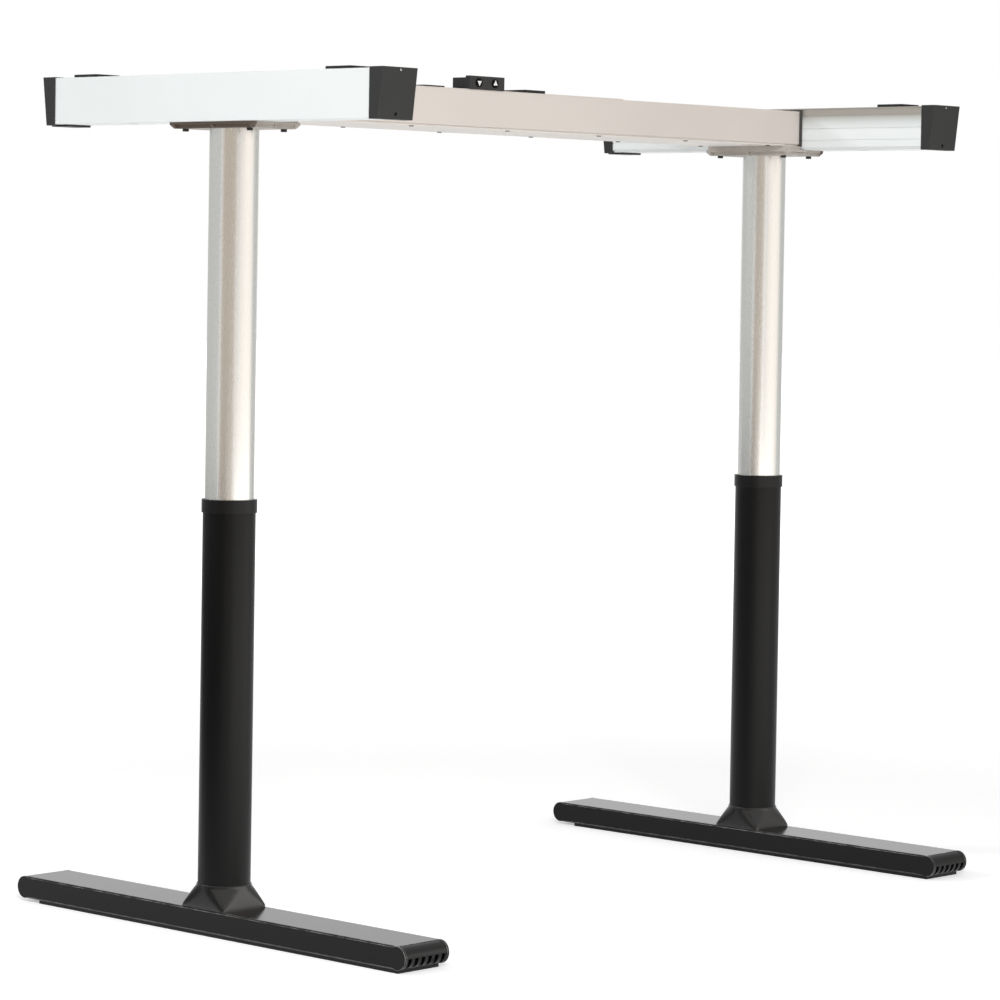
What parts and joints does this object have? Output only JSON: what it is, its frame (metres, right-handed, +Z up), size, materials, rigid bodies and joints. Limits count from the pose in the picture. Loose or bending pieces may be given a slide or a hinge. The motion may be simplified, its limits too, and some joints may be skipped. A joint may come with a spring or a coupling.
{
  "type": "standing desk frame",
  "caption": "Height-adjustable desk frame with telescopic columns on flat feet, side rails, a cross beam and a handset with buttons to raise and lower it.",
  "frame": {"origin": "on the floor, midway between the columns", "axes": "+X from the left column to the right column, -Y toward the user's side where the handset faces, +Z up"},
  "size_m": [1.309, 0.816, 1.2445],
  "materials": {
    "black_coat": "satin powder coat",
    "black_plastic": "fine grain",
    "steel": "plain",
    "brass": "turned",
    "white_plastic": "smooth",
    "silver_tube": "satin",
    "cast_plate": "cast, painted",
    "rail_white": "pale satin",
    "grey_cap": "fine grain",
    "housing": "cast",
    "black_screw": "black oxide",
    "pad_rubber": "matt",
    "beam_paint": "satin",
    "cover_paint": "satin",
    "motor_paint": "satin",
    "box_plastic": "fine grain",
    "handset_black": "semi-gloss"
  },
  "bodies": {
    "left_base": {"left_foot_bar": "black_coat", "left_foot_cap_near": "black_plastic", "left_foot_cap_far": "black_plastic", "left_foot_strip": "black_plastic", "left_clamp_block": "steel", "left_base_bolts": "steel", "left_skirt": "black_coat", "left_outer_tube": "black_coat", "left_collar": "black_plastic", "left_guide_ring": "white_plastic", "left_nut_tube": "steel", "left_nut": "brass"},
    "top_frame": {"left_inner_tube": "silver_tube", "right_inner_tube": "silver_tube", "left_glide_ring": "white_plastic", "right_glide_ring": "white_plastic", "left_head_plate": "cast_plate", "right_head_plate": "cast_plate", "head_screws": "black_screw", "left_rail": "rail_white", "right_rail": "rail_white", "left_near_cap": "grey_cap", "left_far_cap": "grey_cap", "right_near_cap": "grey_cap", "right_far_cap": "grey_cap", "cap_screws": "steel", "table_pads": "pad_rubber", "beam_channel": "beam_paint", "beam_cover": "cover_paint", "cover_screws": "black_screw", "left_gasket": "black_plastic", "right_gasket": "black_plastic", "control_lid": "beam_paint", "left_gear_housing": "housing", "right_gear_housing": "housing", "motor": "motor_paint", "control_box": "box_plastic", "handset_body": "handset_black", "handset_bezel": "handset_black"},
    "right_base": {"right_foot_bar": "black_coat", "right_foot_cap_near": "black_plastic", "right_foot_cap_far": "black_plastic", "right_foot_strip": "black_plastic", "right_clamp_block": "steel", "right_base_bolts": "steel", "right_skirt": "black_coat", "right_outer_tube": "black_coat", "right_collar": "black_plastic", "right_guide_ring": "white_plastic", "right_nut_tube": "steel", "right_nut": "brass"},
    "left_screw": {"left_lift_screw": "steel", "left_wheel": "brass"},
    "right_screw": {"right_lift_screw": "steel", "right_wheel": "brass"},
    "cross_shaft": {"drive_shaft": "steel"},
    "down_key": {"down_button": "handset_black"},
    "up_key": {"up_button": "handset_black"}
  },
  "joints": [
    {"name": "lift", "type": "slide", "parent": "left_base", "child": "top_frame", "axis": [0, 0, 1], "range_m": [-0.5, 0]},
    {"name": "right_lift", "type": "slide", "parent": "top_frame", "child": "right_base", "axis": [0, 0, 1], "range_m": [0, 0.5]},
    {"name": "left_screw_turn", "type": "hinge", "parent": "top_frame", "child": "left_screw", "pos_m": [-0.597, 0, 1.195], "axis": [0, 0, 1], "range_deg": [-9000, 0]},
    {"name": "right_screw_turn", "type": "hinge", "parent": "top_frame", "child": "right_screw", "pos_m": [0.597, 0, 1.195], "axis": [0, 0, 1], "range_deg": [-9000, 0]},
    {"name": "shaft_turn", "type": "hinge", "parent": "top_frame", "child": "cross_shaft", "pos_m": [0, 0.0254, 1.195], "axis": [1, 0, 0], "range_deg": [-36000, 0]},
    {"name": "down_press", "type": "slide", "parent": "top_frame", "child": "down_key", "axis": [0, 1, 0], "range_m": [0, 0.001], "stiffness_N_per_m": 1500, "springref_m": -0.0005},
    {"name": "up_press", "type": "slide", "parent": "top_frame", "child": "up_key", "axis": [0, 1, 0], "range_m": [0, 0.001], "stiffness_N_per_m": 1500, "springref_m": -0.0005}
  ],
  "couplings": [
    {"joint": "right_lift", "follows": "lift", "ratio": -1},
    {"joint": "left_screw_turn", "follows": "lift", "rad_per_m": 314.16},
    {"joint": "right_screw_turn", "follows": "lift", "rad_per_m": 314.16},
    {"joint": "shaft_turn", "follows": "lift", "rad_per_m": 1256.6}
  ]
}
